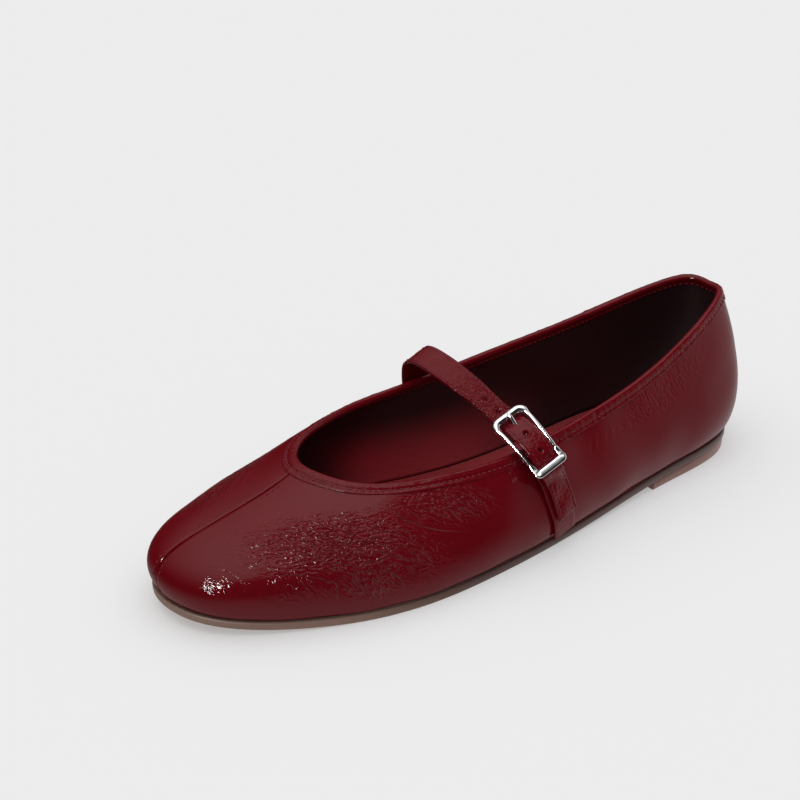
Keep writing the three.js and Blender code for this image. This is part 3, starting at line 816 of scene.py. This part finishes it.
def rounded_bar(radius, top_points, bottom_points):
    """Outline of a flat bar with rounded edges, as rows of (share of the straight half width, extra across,
    height in half thicknesses, 1 on the top face): over the top, round an edge, under, round the other."""
    turn = np.linspace(90, -90, 7)[1:-1] * np.pi / 180
    top = [(share, 0, 1, 1) for share in np.linspace(-1, 1, top_points)]
    right = [(1, radius * np.cos(angle), np.sin(angle), 0) for angle in turn]
    bottom = [(share, 0, -1, 0) for share in np.linspace(1, -1, bottom_points)]
    left = [(-1, -radius * np.cos(angle), np.sin(angle), 0) for angle in turn[::-1]]
    return np.array(top + right + bottom + left).T


share, extra, height, _ = rounded_bar(TAB_EDGE, 15, 7)
t = np.linspace(TAB_FROM, TAB_TO, 60)[:, None]
speed = ring_speed(0, t)
u = share * (TAB_HALF_U - TAB_EDGE / speed) + extra / speed
end = np.clip(np.minimum(t - TAB_FROM, TAB_TO - t) / 0.018, 0, 1)
thick = TAB_THICKNESS * np.sqrt(1 - (1 - end) ** 2 * 0.96)
crown = 0.12 * (1 - share**2) * (height > 0)
lift = TAB_LIFT + thick * (1 + height) / 2 + crown
tab = loft(skin(u, t) + lift[..., None] * skin_normal(u, t), False)
new_piece("heel_tab", tab, patent_leather, "patent_leather", "heel_tab", crinkle=0.2)

t = np.linspace(TAB_FROM + 0.03, TAB_TO - 0.03, 40)
tab_rows = rows_beside(0, TAB_HALF_U - TAB_ROW / ring_speed(0, t), t, TAB_LIFT + TAB_THICKNESS + 0.06)
new_piece("tab_stitches", tab_rows, thread, "patent_leather")


# ==== Outsole ====
# A thin sheet of tan rubber cut a little wider than the upper and cemented under it. It rises into the arch
# and at the toe, and its edge is trimmed smooth and slightly rounded. From the ball back it is painted dark
# brown, a painted shade for the shadow under the upper along the waist and heel seat.
SOLE_EDGE = 0.8


def rubber_grain(group, given):
    """Moulded rubber: a fine even grain with a few larger dull clouds."""
    return noise(group, given["Position"], 2400.0, 2.0), noise(group, given["Position"], 70.0, 5.0)


RUBBER_GRAIN = grain_group("rubber_grain", rubber_grain, "Position")
RUBBER_DEPTH = 0.00005                  # metres
sole_rubber = plain("sole_rubber", RUBBER_GRAIN, RUBBER_DEPTH, (0.215, 0.115, 0.080, 1),
                    (0.275, 0.155, 0.110, 1), Roughness=0.55)
# Painted shade: from the ball back the sole's colour goes dark, for the shadow under the upper.
paint_light_and_shade(sole_rubber, (0.085, 0.034, 0.027, 1), [("X", 0.085, 0.020)])


def sole_face(x):
    return sole_top(x) - CLEARANCE


outsole = slab(SOLE_EDGE, sole_face, lambda x: sole_face(x) - SOLE_THICKNESS, 0.45, TOE_END, 220)
new_piece("outsole", outsole, sole_rubber, "sole", "outsole")


# ==== Heel block ====
# A low block of darker rubber under the seat, cut square across at its front and cemented to the outsole.
BREAST_X = 60
u = np.linspace(1, 4, 3001)
breast_u = np.interp(BREAST_X, feather(u)[:, 0], u)
heel_rubber = plain("heel_rubber", RUBBER_GRAIN, RUBBER_DEPTH, (0.205, 0.083, 0.063, 1),
                    (0.265, 0.116, 0.090, 1), Roughness=0.5)
heel = slab(SOLE_EDGE - 0.6, lambda x: sole_face(x) - SOLE_THICKNESS - CLEARANCE, lambda x: 0 * x,
            0.5, breast_u, 90)
new_piece("heel_block", heel, heel_rubber, "heel_block", "heel")


# ==== Buckle ====
# A cast steel frame, polished: a thick round top bar, thin sides with a small step near the foot and a flat
# lower bar. A rod across it holds the anchor strap and the prong, which goes up through the instep strap.
BUCKLE_TOP = np.array([126.5, 24.8, 49])
BUCKLE_FOOT = np.array([121.4, 43, 36.1])
BUCKLE_ACROSS = np.array([1, 0.1, -0.42])              # towards the toe and down
BUCKLE_LENGTH = np.linalg.norm(BUCKLE_FOOT - BUCKLE_TOP)
BUCKLE_L = unit(BUCKLE_FOOT - BUCKLE_TOP)
BUCKLE_A = unit(BUCKLE_ACROSS - (BUCKLE_ACROSS @ BUCKLE_L) * BUCKLE_L)
BUCKLE_N = np.cross(BUCKLE_A, BUCKLE_L)
HALF_WIDTH_TOP, HALF_WIDTH_FOOT, STEP_L = 6.3, 5.6, 18.4
BAR_L, BAR_N = 15, -1.2                 # the rod, down the buckle and out of the shoe
BAR_RADIUS, PRONG_RADIUS = 0.9, 0.5
BUCKLE_BASIS = np.stack([BUCKLE_A, BUCKLE_L, BUCKLE_N])


def in_buckle(places):
    """Places given across the buckle, down the strap and out of the shoe, in the shoe's own measures."""
    return BUCKLE_TOP + np.asarray(places, float) @ BUCKLE_BASIS


def frame_sections():
    """The frame's rounded outline carried round: superellipses whose width in the frame's plane, depth and
    squareness change with the distance down the buckle."""
    outline = []
    corners = [(1, 0, 2.4), (1, BUCKLE_LENGTH, 0.9), (-1, BUCKLE_LENGTH, 0.9), (-1, 0, 2.4)]
    for number, (side, l, radius) in enumerate(corners):
        half = HALF_WIDTH_FOOT if l else HALF_WIDTH_TOP
        angle = np.pi / 2 * (number - 1 + np.linspace(0, 1, 12))
        outline.append(np.stack([side * (half - radius) + radius * np.cos(angle),
                                 (l - radius if l else radius) + radius * np.sin(angle)], -1))
    outline = np.concatenate([*outline, outline[0][:1]])
    reach = chords(outline)
    even = np.linspace(0, reach[-1], 261)[:-1]
    a, l = (np.interp(even, reach, outline[:, axis]) for axis in (0, 1))
    turn_a, turn_l = np.roll(a, -1) - np.roll(a, 1), np.roll(l, -1) - np.roll(l, 1)
    size = np.hypot(turn_a, turn_l)
    out_a, out_l = turn_l / size, -turn_a / size

    def ramp(value, start, end):
        s = np.clip((value - start) / (end - start), 0, 1)
        return s * s * (3 - 2 * s)

    top, foot = ramp(4 - l, 0, 3.4), ramp(l, BUCKLE_LENGTH - 1.8, BUCKLE_LENGTH - 0.4)
    step = ramp(l, STEP_L, STEP_L + 0.3) * (1 - foot)
    notch = bell(l, STEP_L - 0.3, 0.35)
    plane = 0.78 + 0.62 * top + 0.55 * foot + 0.24 * step - 0.22 * notch
    depth = 0.95 + 0.32 * top - 0.25 * foot - 0.10 * step
    square = 2.0 + 2.4 * ramp(l, STEP_L, BUCKLE_LENGTH - 1)
    angle = 2 * np.pi * (np.arange(24) + 0.5) / 24
    cos, sin = np.cos(angle), np.sin(angle)
    shape_a = np.sign(cos) * np.abs(cos) ** (2 / square[:, None])
    shape_n = np.sign(sin) * np.abs(sin) ** (2 / square[:, None])
    past = np.clip((l - STEP_L) / (BUCKLE_LENGTH - STEP_L), 0, 1)
    bow = 0.9 * np.sin(np.pi * np.clip(l / STEP_L, 0, 1)) - 0.25 * np.sin(np.pi * past)
    shift = plane[:, None] * shape_a
    return in_buckle(np.stack([a[:, None] + out_a[:, None] * shift, l[:, None] + out_l[:, None] * shift,
                               bow[:, None] + depth[:, None] * shape_n], -1))


def open_curve(rows, knots):
    """Smooth open curve through rows at increasing knots: cubics with free ends whose slopes m solve
    m[i-1] / h + 2 m[i] (1/h + 1/k) + m[i+1] / k = 3 (step before / h^2 + step after / k^2)."""
    rows, gap = np.array(rows, float), np.diff(knots)
    n = len(rows)
    system, pull = np.zeros((n, n)), np.zeros(rows.shape)
    for i in range(n - 1):
        change = 3 * (rows[i + 1] - rows[i]) / gap[i] ** 2
        system[i, i] += 2 / gap[i]
        system[i + 1, i + 1] += 2 / gap[i]
        system[i, i + 1] = system[i + 1, i] = 1 / gap[i]
        pull[i] += change
        pull[i + 1] += change
    slopes = np.linalg.solve(system, pull)

    def at(s):
        s = np.clip(s, 0, knots[-1])
        i = np.clip(np.searchsorted(knots, s, side="right") - 1, 0, n - 2)
        h = gap[i][..., None]
        share = (s[..., None] - knots[i][..., None]) / h
        return hermite(rows[i], rows[i + 1], h * slopes[i], h * slopes[i + 1], share)
    return at


def rod(route, radius, flat, rings, sides):
    """Round bar along a smooth curve through points, with the radius of each ring and its flattening."""
    route = np.asarray(route, float)
    knots = chords(route)
    curve = open_curve(route, knots)
    s = np.linspace(0, knots[-1], rings)
    along = unit(curve(np.minimum(s + 0.02, knots[-1])) - curve(np.maximum(s - 0.02, 0)))
    across = BUCKLE_A - (along @ BUCKLE_A)[:, None] * along
    if np.abs(along[0] @ BUCKLE_A) > 0.9:
        across = BUCKLE_L - (along @ BUCKLE_L)[:, None] * along
    across = unit(across)
    other = np.cross(along, across)
    angle = 2 * np.pi * np.arange(sides) / sides
    size = radius(s / knots[-1])[:, None, None]
    return curve(s)[:, None] + size * (across[:, None] * np.cos(angle)[None, :, None] * (1 + flat)
                                       + other[:, None] * np.sin(angle)[None, :, None])


steel, tree, shader = new_material("polished_steel", Metallic=1.0)
position = in_shoe(tree)
lengthwise = node(tree, "Mapping", {"Vector": position, "Scale": (1, 9, 9)}).outputs["Vector"]
haze = noise(tree, position, 350.0, 4.0)
tree.links.new(blend_colours(tree, haze, (0.72, 0.72, 0.73, 1), (0.86, 0.85, 0.85, 1)),
               shader.inputs["Base Color"])
tree.links.new(maths(tree, "MULTIPLY_ADD", haze, 0.16, 0.04), shader.inputs["Roughness"])
BRUSHING_DEPTH = 0.000012               # metres
relief(tree, shader, noise(tree, lengthwise, 700.0, 3.0), BRUSHING_DEPTH)

across_buckle = in_buckle([(side * HALF_WIDTH_TOP, BAR_L, BAR_N) for side in (-1, 0, 1)])
centre_rod = rod(across_buckle, lambda share: BAR_RADIUS + 0 * share, 0, 9, 20)
buckle = join([loft(frame_sections(), True), loft(centre_rod, False)])
new_piece("buckle_frame", buckle, steel, "buckle_metal", "buckle_frame")

hook_radius = BAR_RADIUS + CLEARANCE + PRONG_RADIUS
angle = np.radians([165, 130, 95, 60, 30, 0])
hook = [(0, BAR_L + hook_radius * np.sin(turn), BAR_N + hook_radius * np.cos(turn)) for turn in angle]
route = in_buckle(hook + [(0, 11, 0.3), (0, 7, 0.35), (0, 4, 1.1), (0, 1.6, 2.2), (0, -0.6, 2.2)])


def prong_radius(share):
    """Radius at a share of the prong's length: even, then rounded off over the last 3 %."""
    return PRONG_RADIUS * np.sqrt(np.clip(1 - np.maximum((share - 0.97) / 0.03, 0) ** 2, 0.02, 1))


prong = loft(rod(route, prong_radius, 0.25, 90, 14), False)
new_piece("buckle_prong", prong, steel, "buckle_metal", "buckle_prong")


# ==== Anchor strap ====
# A short strap of patent leather that comes up the lateral side from under the upper, goes round the
# buckle's rod and back under itself. It is slit where the prong turns on the rod.
ANCHOR_THICKNESS, STRAP_THICKNESS, LIFT_OFF_UPPER = 1.0, 1.4, 0.6
STRAP_EDGE = 1.4                        # stitch rows lie this far in from a strap's edges


def on_side(side, x, z, lift, width):
    """Station of a strap that lies on the skin: the place at that x and height, found by stepping towards
    it, moved out by lift; across runs along the ring towards the toe."""
    u, t = 4.0, 0.5
    for _ in range(30):
        here = skin(on_ring(u, side), t)
        u = float(np.clip(u + (x - here[0]) / 42, 1, 7))
        t = float(np.clip(t + (z - here[2]) / 45, 0, 1))
    u = on_ring(u, side)
    across = unit(skin(u + side * 0.02, t) - skin(u - side * 0.02, t))
    return (*(skin(u, t) + lift * skin_normal(u, t)), width, *across)


def by_buckle(l, n, width):
    return (*in_buckle((0, l, n)), width, *BUCKLE_A)


def strap_frames(stations, steps, start=0.0, end=1.0):
    """Even steps along a strap: distance, centre, width and the directions across it and out of it."""
    stations = np.array(stations)
    knots = chords(stations[:, :3])
    curve = open_curve(stations, knots)
    s = np.linspace(start, end, steps) * knots[-1]
    rows = curve(s)
    along = unit(curve(np.minimum(s + 0.05, knots[-1]))[:, :3] - curve(np.maximum(s - 0.05, 0))[:, :3])
    across = rows[:, 4:7]
    across = unit(across - np.sum(across * along, -1, keepdims=True) * along)
    return s, rows[:, :3], rows[:, 3], across, np.cross(across, along)


def strap_body(frames, thickness, part=(-1, 1), surface=None):
    """Strap along its frames: a flat bar with rounded edges whose two ends are rounded off. part is the
    share of the width that it fills; surface(s, a) is the upper face's relief at s along and a across."""
    s, centre, width, across, normal = frames
    radius = 0.42 * thickness
    share, extra, height, upper_face = rounded_bar(radius, 30, 10)
    middle, half = sum(part) / 2 * width / 2, (part[1] - part[0]) / 2 * width / 2
    a = middle[:, None] + share * (half[:, None] - radius) + extra
    end = np.clip(np.minimum(s - s[0], s[-1] - s) / 0.5, 0, 1)[:, None]
    n = height * thickness / 2 * (0.35 + 0.65 * np.sqrt(1 - (1 - end) ** 2))
    if surface is not None:
        n = n + surface(s[:, None], a) * upper_face
    return loft(centre[:, None] + a[..., None] * across[:, None] + n[..., None] * normal[:, None], False)


fold_radius = BAR_RADIUS + CLEARANCE + ANCHOR_THICKNESS / 2
ANCHOR_LIFT = LIFT_OFF_UPPER + ANCHOR_THICKNESS / 2
anchor = [on_side(1, 111.4, 5.2, ANCHOR_LIFT, 10), on_side(1, 113.7, 13, ANCHOR_LIFT, 9.9),
          on_side(1, 116.6, 22, ANCHOR_LIFT, 9.6), on_side(1, 118.7, 28, ANCHOR_LIFT + 1, 9.3),
          by_buckle(BAR_L + 4.4, -3.6, 9), by_buckle(BAR_L + 2.7, -0.9, 9)]
for turn in np.radians([-25, 20, 65, 110, 155]):
    anchor.append(by_buckle(BAR_L - fold_radius * np.sin(turn), BAR_N + fold_radius * np.cos(turn), 9))
anchor.append(by_buckle(BAR_L + 2.2, BAR_N - fold_radius - 0.4, 9))
anchor_knots = chords(np.array(anchor)[:, :3])
slit = anchor_knots[5] / anchor_knots[-1]


def anchor_relief(s, a):
    """Faint folds and slack of the anchor strap's upper face."""
    return 0.03 * np.tanh(waves(s, a, 1.8, 0.7, 21)) + 0.05 * waves(s, a, 9, 1, 22, 12)


parts = [strap_body(strap_frames(anchor, 150, 0, slit), ANCHOR_THICKNESS, surface=anchor_relief)]
for part in ((-1, -0.22), (0.22, 1)):
    parts.append(strap_body(strap_frames(anchor, 70, slit, 1), ANCHOR_THICKNESS, part))
new_piece("buckle_strap", join(parts), patent_leather, "patent_leather", "buckle_strap", crinkle=0.10)


def edge_stitches(frames, thickness, inset):
    """A stitch row along either edge of a strap."""
    s, centre, width, across, normal = frames
    rows = []
    for side in (-1, 1):
        path = centre + side * (width / 2 - inset)[:, None] * across + (thickness / 2 + 0.02) * normal
        rows.append(stitches(path, normal, pitch=2.0, length=1.4, thickness=0.34))
    return rows


# ==== Instep strap ====
# A narrow patent strap sewn under the upper on the medial side. It bridges the instep, runs through the
# buckle over the rod, and its free end lies on the anchor strap. It is edge-stitched and has spare holes.
FREE_LIFT = LIFT_OFF_UPPER + ANCHOR_THICKNESS + CLEARANCE + STRAP_THICKNESS / 2
STRAP_LIFT = LIFT_OFF_UPPER + STRAP_THICKNESS / 2
LEVEL_WITH_RIM, OVER_INSTEP = unit(np.array([[1, 0.04, -0.2], [1, 0.24, -0.2]]))
bridge = [(128, -28.6, 52, 11.8), (126.9, -17.9, 53.8, 11.6), (127, -6.2, 53, 11.1), (127, 6, 51.5, 10.3),
          (126.3, 17.4, 48.7, 9.5)]
instep = [on_side(-1, x, z, STRAP_LIFT, 12) for x, z in ((115, 5.6), (118, 15), (122, 27), (126, 38))]
instep += [(127.8, -29.2, 46.5, 12, *LEVEL_WITH_RIM)] + [(*station, *OVER_INSTEP) for station in bridge]
over_rod = [(0, -2.7, 9.2), (1.8, -1.9, 9.1), (4, 0.1, 9.1), (7, 1.5, 9.1), (10.5, 2, 9.1), (15, 2.1, 9),
            (18.2, 0.9, 9), (20.6, -1.4, 8.9), (BUCKLE_LENGTH, -2.3, 8.9)]
instep += [by_buckle(*row) for row in over_rod]
instep += [on_side(1, 118.4, 28.3, FREE_LIFT + 2, 9.1), on_side(1, 115, 20.5, FREE_LIFT + 0.1, 9.3),
           on_side(1, 113, 14, FREE_LIFT, 9.4)]
knots = chords(np.array(instep)[:, :3])
buckle_knots = knots[10:19]
HOLES_L = (-11.6, -4.3, 3.0, 9.1, 16.4)  # down the strap from the buckle's top bar
HOLE_RADIUS = 0.85


def strap_distance(l):
    """Distance along the strap of a place l down the buckle; above the top bar it is counted straight on."""
    return buckle_knots[0] + np.where(np.array(l) < 0, l, np.interp(
        l, [row[0] for row in over_rod], buckle_knots - buckle_knots[0]))


holes = strap_distance(HOLES_L)


def folded(s):
    """1 where the strap is crinkled, from 24 mm above the buckle to just past its top bar, 0 elsewhere."""
    return plateau(s, strap_distance(-24), 3, strap_distance(1), 1.5)


def instep_relief(s, a):
    """Folds, strongest just above the buckle; the two stitch troughs; the punched holes, as round pits with
    a raised lip."""
    height = (0.02 + 0.10 * folded(s)) * np.tanh(1.3 * waves(s, a, 1.9, 0.9, 33))
    height += 0.05 * waves(s, a, 8, 1, 34, 12)
    width = np.abs(a).max(1, keepdims=True)
    height -= 0.10 * bell(np.abs(a), width - STRAP_EDGE, 0.4)
    for hole in holes:
        distance = np.hypot(s - hole, a)
        height += 0.10 * bell(distance, HOLE_RADIUS + 0.45, 0.35)
        height -= 0.58 * (1 - np.tanh((distance - HOLE_RADIUS) / 0.14))
    return height


frames = strap_frames(instep, 560)
body = strap_body(frames, STRAP_THICKNESS, surface=instep_relief)
outline_points = (len(body[0]) - 2) // len(frames[0])
mask = np.concatenate([0.08 + 0.60 * folded(np.repeat(frames[0], outline_points)), [0.2, 0.2]])
new_piece("instep_strap", body, patent_leather, "patent_leather", "instep_strap", crinkle=mask)
rows = edge_stitches(strap_frames(instep, 600, 0.01, 0.99), STRAP_THICKNESS, STRAP_EDGE)
rows += edge_stitches(strap_frames(anchor, 200, 0.02, slit), ANCHOR_THICKNESS, STRAP_EDGE)
new_piece("strap_stitches", join(rows), thread, "patent_leather")


# ==== Studio ====
# A pale table lit a little from within, a bright ceiling and a small lamp in front of the toe. The camera
# looks down on the lateral side from the front. None of this is part of the shoe.
floor_paint, tree, shader = new_material(
    "floor_paint", Base_Color=(0.5, 0.5, 0.5, 1), Roughness=0.9, Specular_IOR_Level=0.0,
    Emission_Color=(1, 1, 1, 1), Emission_Strength=0.35)
FLOOR_REACH = 6.0
corners = [(x * FLOOR_REACH, y * FLOOR_REACH, 0) for x, y in ((-1, -1), (1, -1), (1, 1), (-1, 1))]
floor_mesh = bpy.data.meshes.new("floor")
floor_mesh.from_pydata(corners, [], [(0, 1, 2, 3)])
floor_mesh.materials.append(floor_paint)
floor = place("floor", floor_mesh)
floor.visible_glossy = False


def towards(turn, height):
    """Unit vector turned from +Y towards +X and raised above the horizon."""
    return np.array([np.sin(turn) * np.cos(height), np.cos(turn) * np.cos(height), np.sin(height)])


def stand(thing, right, above, back, spot):
    """Sets a camera or lamp on a spot, with its right side, its top and its back turned as given."""
    rows = np.stack([right, above, back, spot], 1)
    thing.matrix_world = Matrix([*rows.tolist(), [0, 0, 0, 1]])


# Place of the camera: turned from +Y towards +X, height above the horizon, roll, distance in metres.
CAMERA_TURN, CAMERA_HEIGHT, CAMERA_ROLL = np.radians([33.322, 26.243, -1.063])
CAMERA_DISTANCE = 0.618493
CAMERA_AIM = np.array([-0.008716, -0.058755, 0.020])
SENSOR, LENS = 36.0, 71.178
away = towards(CAMERA_TURN, CAMERA_HEIGHT)
level = np.array([-np.cos(CAMERA_TURN), np.sin(CAMERA_TURN), 0])
steep = np.cross(away, level)
right = np.cos(CAMERA_ROLL) * level + np.sin(CAMERA_ROLL) * steep
above = np.cos(CAMERA_ROLL) * steep - np.sin(CAMERA_ROLL) * level
camera_data = bpy.data.cameras.new("camera")
camera_data.lens = LENS
camera_data.sensor_width = SENSOR
camera = place("camera", camera_data)
stand(camera, right, above, away, CAMERA_AIM + CAMERA_DISTANCE * away)
bpy.context.scene.camera = camera

# The lamp stands at a turn and height of its own. Only its mirror image in the lacquer is seen.
LAMP_TURN, LAMP_HEIGHT, LAMP_DISTANCE = np.radians(67.4), np.radians(24), 1.6
to_lamp = towards(LAMP_TURN, LAMP_HEIGHT)
lamp_data = bpy.data.lights.new("toe_lamp", "AREA")
lamp_data.shape = "RECTANGLE"
lamp_data.size, lamp_data.size_y, lamp_data.energy = 0.46, 0.30, 34
lamp = place("toe_lamp", lamp_data)
side = unit(np.cross(UP, to_lamp))
stand(lamp, side, np.cross(to_lamp, side), to_lamp, to_lamp * LAMP_DISTANCE)
lamp.visible_diffuse = False
lamp.visible_camera = False

# The room's light grows with the cube of the rise towards the ceiling. What the shoe mirrors of it is bright
# above and past the heel, dark on the camera's side, and bright again towards the table below.
world = bpy.data.worlds.new("room")
world.use_nodes = True
bpy.context.scene.world = world
tree = world.node_tree
WALLS, CEILING, BACKDROP = 0.12, 2.15, 0.84
MIRRORED_DARK, MIRRORED_TOP, MIRRORED_TABLE, MIRRORED_BEHIND = 0.02, 2.15, 0.72, 1.15
BRIGHT_SIDE = (0.35, -0.55, 0.76)

direction = node(tree, "TexCoord").outputs["Generated"]
split = node(tree, "SeparateXYZ", {0: direction}).outputs
rise = split["Z"]
facing = node(tree, "VectorMath", {0: direction, 1: BRIGHT_SIDE}, operation="DOT_PRODUCT").outputs["Value"]
upward = maths(tree, "MAXIMUM", rise, 0.0)
room = maths(tree, "MULTIPLY_ADD", maths(tree, "POWER", upward, 3.0), CEILING, WALLS)
overhead = maths(tree, "MULTIPLY", soft_edge(tree, facing, 0.36, 0.60), maths(tree, "POWER", upward, 2.2))
below_shoe = soft_edge(tree, rise, -0.14, -0.75)
past_heel = soft_edge(tree, split["X"], -0.58, -0.95)
mirrored = MIRRORED_DARK
for share, light in ((past_heel, MIRRORED_BEHIND), (below_shoe, MIRRORED_TABLE), (overhead, MIRRORED_TOP)):
    mirrored = maths(tree, "MULTIPLY_ADD", share, light, mirrored)
rays = node(tree, "LightPath").outputs
strength = room
for ray, light in (("Is Glossy Ray", mirrored), ("Is Camera Ray", BACKDROP)):
    strength = node(tree, "Mix", {0: rays[ray], 2: strength, 3: light}, data_type="FLOAT").outputs[0]
background = tree.nodes["Background"]
background.inputs["Color"].default_value = (1, 1, 1, 1)
tree.links.new(strength, background.inputs["Strength"])
bpy.context.scene.view_settings.view_transform = "Standard"
